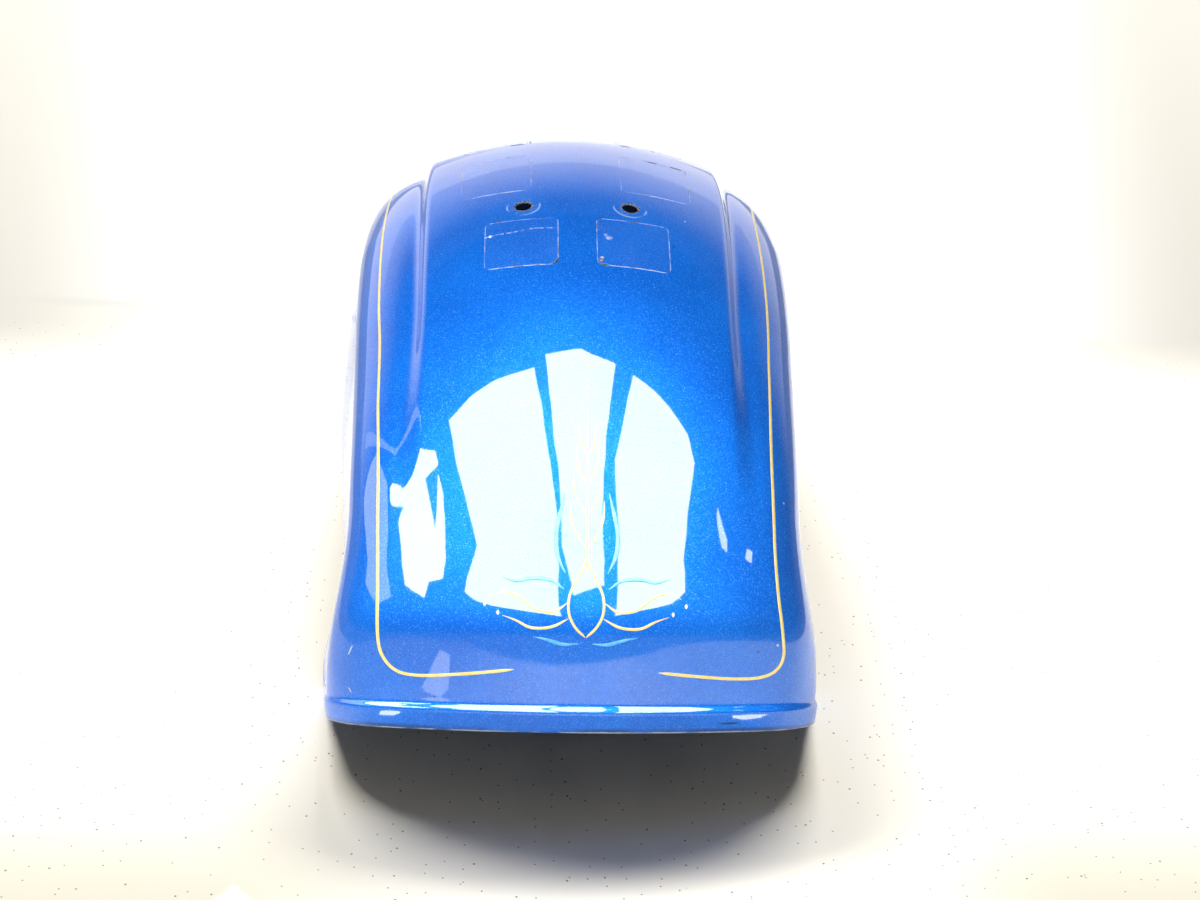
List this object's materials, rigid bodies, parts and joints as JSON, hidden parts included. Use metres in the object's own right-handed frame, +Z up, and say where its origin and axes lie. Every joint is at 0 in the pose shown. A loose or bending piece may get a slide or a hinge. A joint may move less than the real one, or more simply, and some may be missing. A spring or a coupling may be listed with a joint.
{
  "type": "motorcycle rear fender",
  "caption": "Pressed steel rear fender for a cruiser motorcycle: raised crown panel, deep skirts, kicked-out tail lip, bolt holes on top and clear film patches.",
  "frame": {"origin": "bottom centre of the bounding box, on the surface that the fender stands on", "axes": "+Z up, -Y towards the tail lip, +Y towards the hidden front edge, X across, symmetric about X = 0"},
  "size_m": [0.277, 0.5508, 0.2496],
  "materials": {
    "blue_paint": "metallic blue under gloss clear coat",
    "clear_film": "thin clear adhesive film"
  },
  "bodies": {
    "root": {"fender_shell": "blue_paint", "film_rear_left": "clear_film", "film_rear_right": "clear_film", "film_middle_left": "clear_film", "film_middle_right": "clear_film", "film_front_left": "clear_film", "film_front_right": "clear_film"}
  },
  "joints": []
}
